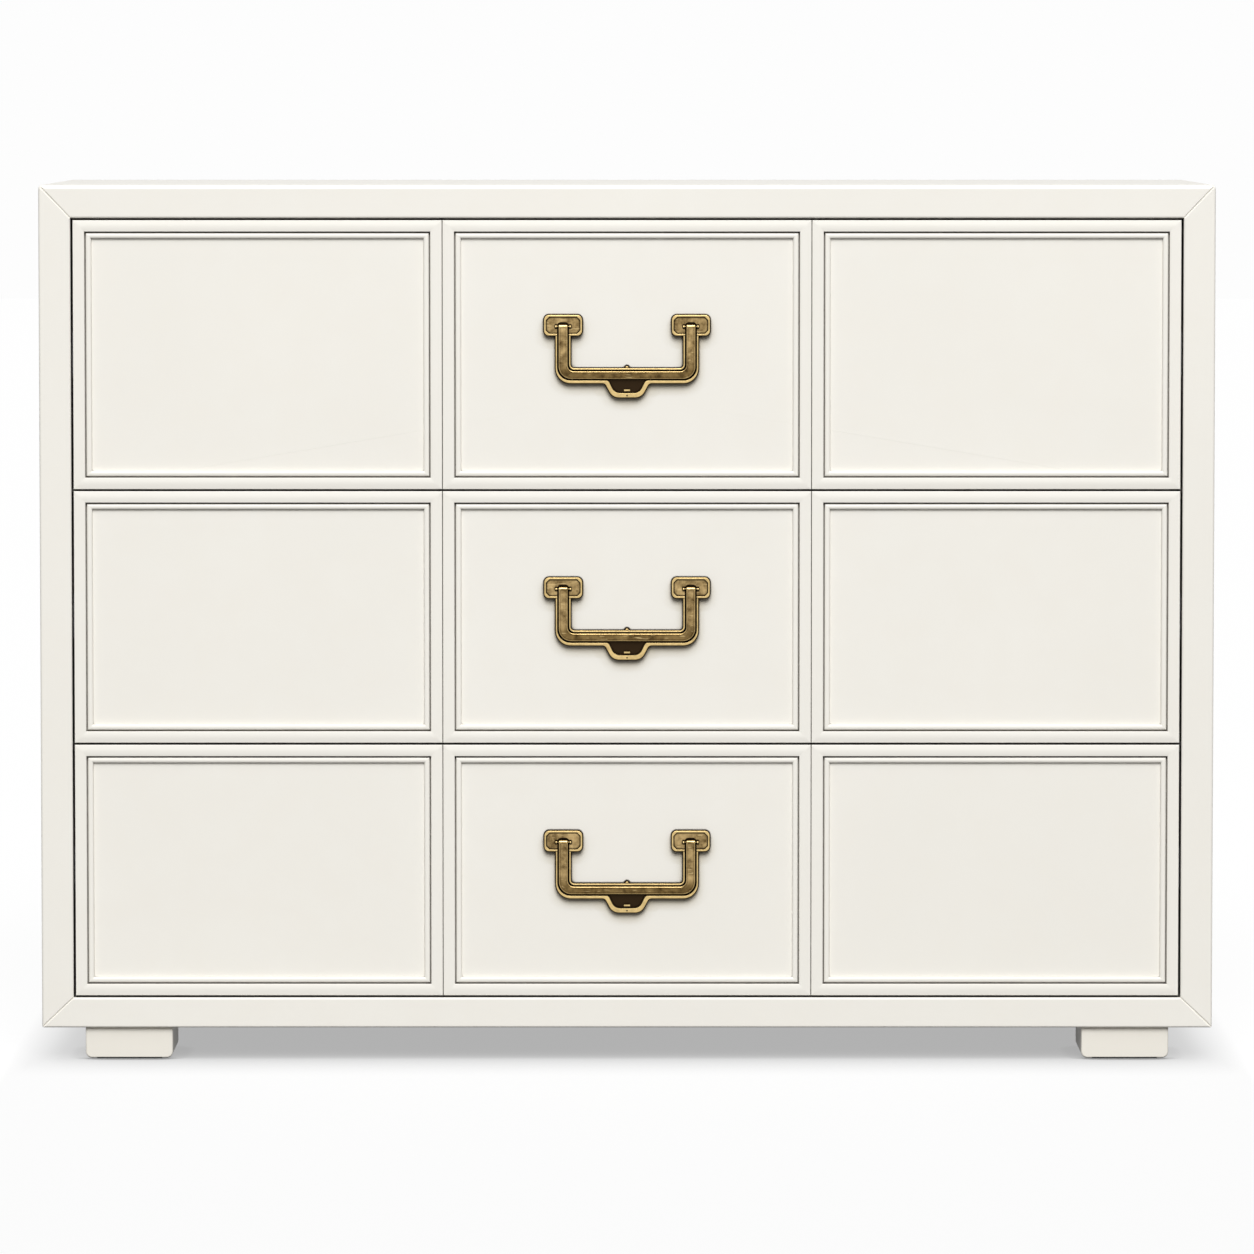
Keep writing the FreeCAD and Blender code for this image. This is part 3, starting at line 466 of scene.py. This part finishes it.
# ---- woods, metals and nylon -----------------------------------------------------------------------
def timber(name, light, dark, stretch, scale=WOOD_SCALE):
    """Pale wood with long grain along the axis that is stretched least."""
    g = Graph(name)
    grain = g.pattern(g.places(stretch), scale, BULK, detail=6.0, roughness=0.7)
    pore_places = g.places(tuple(PORE_STRETCH * axis for axis in stretch))
    pores = g.pattern(pore_places, PORE_SCALE * scale, PORE_SPAN, detail=2.0)
    tone = g.blend(grain, srgb(*light), srgb(*dark))
    tone = g.blend(g.times(pores, PORE_SHARE), tone, srgb(*PORES))
    g.bump(grain, strength=0.12, distance=0.0004)
    return g.finish(tone, g.between(grain, 0.5, 0.62))


def plated_steel(name, tone_low, tone_high, stretch):
    """Bright zinc plate with faint rolling marks."""
    g = Graph(name)
    marks = g.pattern(g.places(stretch), 220.0, BULK, detail=4.0)
    bloom = g.pattern(g.places(), 90.0, CORE)
    tone = g.blend(marks, srgb(*tone_low), srgb(*tone_high))
    tone = g.blend(g.times(bloom, BLOOM_SHARE), tone, srgb(*ZINC_BLOOM))
    g.bump(marks, strength=0.08, distance=0.0002)
    return g.finish(tone, g.between(bloom, 0.30, 0.42), metallic=1.0)


def nylon():
    """Dark matt nylon of the strips under the feet."""
    g = Graph("pad_nylon")
    grain = g.pattern(g.places(), 900.0, BULK, detail=4.0, roughness=0.8)
    g.bump(grain, strength=0.3, distance=0.0003)
    return g.finish(g.blend(grain, *(srgb(*tone) for tone in NYLON)), g.between(grain, 0.6, 0.75))


def dress():
    """Gives every node of the model its finish, by the record's slots and by the way its grain runs."""
    finishes = {
        "lacquered_wood": lacquer(),
        "box_wood": timber("maple_across", *MAPLE, ALONG_X),
        "box_plywood": timber("birch_veneer", *BIRCH, VENEER_ALONG_X, VENEER_SCALE),
        "back_plywood": timber("washed_veneer", *WASHED, VENEER_ALONG_Z, VENEER_SCALE),
        "antique_brass": brass("brass_backplate", 1.0, PLATE_FLANK),
        "slide_steel": plated_steel("steel_rolled", *ROLLED, ROLLED_ALONG_Y),
        "zinc_screws": plated_steel("zinc_turned", *TURNED, TURNED_ALL_ROUND),
        "foot_pad": nylon(),
    }
    along_side = timber("maple_along_side", *MAPLE, ALONG_Y)
    bails = {}
    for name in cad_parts:
        if name.endswith("pull_bail"):
            bails[name] = brass("brass_" + name, 0.0, BAIL_FLANK, bar_z=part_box(name)[0].z)
    for name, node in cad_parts.items():
        for slot in node.material_slots:
            kind = slot.material.name.split(".")[0]
            slot.material = finishes[kind]
            if name.endswith(("drawer_left_side", "drawer_right_side")):
                slot.material = along_side
            if name in bails:
                slot.material = bails[name]


# ---- surroundings ----------------------------------------------------------------------------------
def place(name, data, location, rotation):
    thing = bpy.data.objects.new(name, data)
    bpy.context.scene.collection.objects.link(thing)
    thing.location = location
    thing.rotation_euler = rotation
    return thing


def seen_rays(tree):
    """One for rays from the camera, a mirror or glass, and zero for rays that light the object."""
    path = tree.nodes.new("ShaderNodeLightPath")
    total = path.outputs["Is Camera Ray"]
    for kind in ("Is Glossy Ray", "Is Transmission Ray"):
        join = tree.nodes.new("ShaderNodeMath")
        join.operation = "MAXIMUM"
        tree.links.new(total, join.inputs[0])
        tree.links.new(path.outputs[kind], join.inputs[1])
        total = join.outputs[0]
    return total


def add_camera():
    data = bpy.data.cameras.new("camera")
    data.sensor_width = SENSOR
    data.lens = SENSOR * FOCAL_PIXELS / IMAGE_SIDE
    data.clip_end = CAMERA_REACH
    stand = (0, cad_low.y - CAMERA_AHEAD, CAMERA_HEIGHT)
    camera = place("camera", data, stand, (math.pi / 2 - CAMERA_PITCH, 0, 0))
    bpy.context.scene.camera = camera


def add_world():
    """A white sky for rays that are seen, and a weak one for rays that light the object."""
    world = bpy.data.worlds.new("studio")
    world.use_nodes = True
    tree = world.node_tree
    strength = tree.nodes.new("ShaderNodeMapRange")
    tree.links.new(seen_rays(tree), strength.inputs["Value"])
    strength.inputs["To Min"].default_value = SKY_STRENGTH
    strength.inputs["To Max"].default_value = 1.0
    background = tree.nodes["Background"]
    background.inputs["Color"].default_value = (BACKDROP, BACKDROP, BACKDROP, 1)
    tree.links.new(strength.outputs["Result"], background.inputs["Strength"])
    bpy.context.scene.world = world


def floor_glow(g):
    """How bright the floor is drawn: white in the open, with a painted shadow near and under the object that
    painted light lifts again past the case's sides.
    """
    axes = g.axes(g.places())
    # painted shadow: the floor glows less where the object closes it in
    glow = g.curve(g.openness(OPEN_REACH), GLOW_BY_OPENNESS)
    # painted light: past the case's sides the floor glows brighter again
    glow = g.larger(glow, g.curve(g.absolute(axes["X"]), GLOW_BY_OFFSET))
    # painted contact shadow along the front of the feet, lifted beside them
    contact = g.curve(g.openness(CONTACT_REACH), CONTACT_BY_OPENNESS)
    contact = g.larger(contact, g.curve(axes["Y"], CONTACT_BY_DEPTH))
    return g.times(contact, glow)


def add_floor():
    """A pale floor that shows white in the open, with a painted shadow close to and under the object."""
    half = FLOOR_SIDE / 2
    corners = [(-half, -half, 0), (half, -half, 0), (half, half, 0), (-half, half, 0)]
    mesh = bpy.data.meshes.new("floor")
    mesh.from_pydata(corners, [], [(0, 1, 2, 3)])
    g = Graph("floor_paper")
    seen = seen_rays(g.tree)
    diffuse = g.add("BsdfDiffuse")
    g.feed(diffuse.inputs["Color"], g.between(seen, FLOOR_ALBEDO, FLOOR_SEEN_ALBEDO))
    lift = g.add("Emission")
    g.feed(lift.inputs["Strength"], g.times(seen, floor_glow(g)))
    total = g.add("AddShader")
    g.feed(total.inputs[0], diffuse.outputs[0])
    g.feed(total.inputs[1], lift.outputs[0])
    g.feed(g.tree.nodes["Material Output"].inputs["Surface"], total.outputs[0])
    g.tree.nodes.remove(g.shader)
    mesh.materials.append(g.material)
    place("floor", mesh, (0, 0, 0), (0, 0, 0))


def add_key(energy, elevation, turn, spread, stand):
    """A wide, far light, given by its height over the horizon, its turn to one side and its spread."""
    light = bpy.data.lights.new("key", "SUN")
    light.energy = energy
    light.angle = math.radians(spread)
    place("key", light, stand, (math.radians(90 - elevation), 0, math.radians(turn)))


def add_top_box(power, size, stand, aim):
    """A soft box over and before the object."""
    light = bpy.data.lights.new("top_box", "AREA")
    light.shape = "RECTANGLE"
    light.size, light.size_y = size
    light.energy = power
    place("top_box", light, stand, (Vector(aim) - Vector(stand)).to_track_quat("-Z", "Y").to_euler())


dress()
add_camera()
add_world()
add_floor()
add_key(**KEY)
add_top_box(**TOP_BOX)
bpy.context.scene.view_settings.view_transform = "Standard"
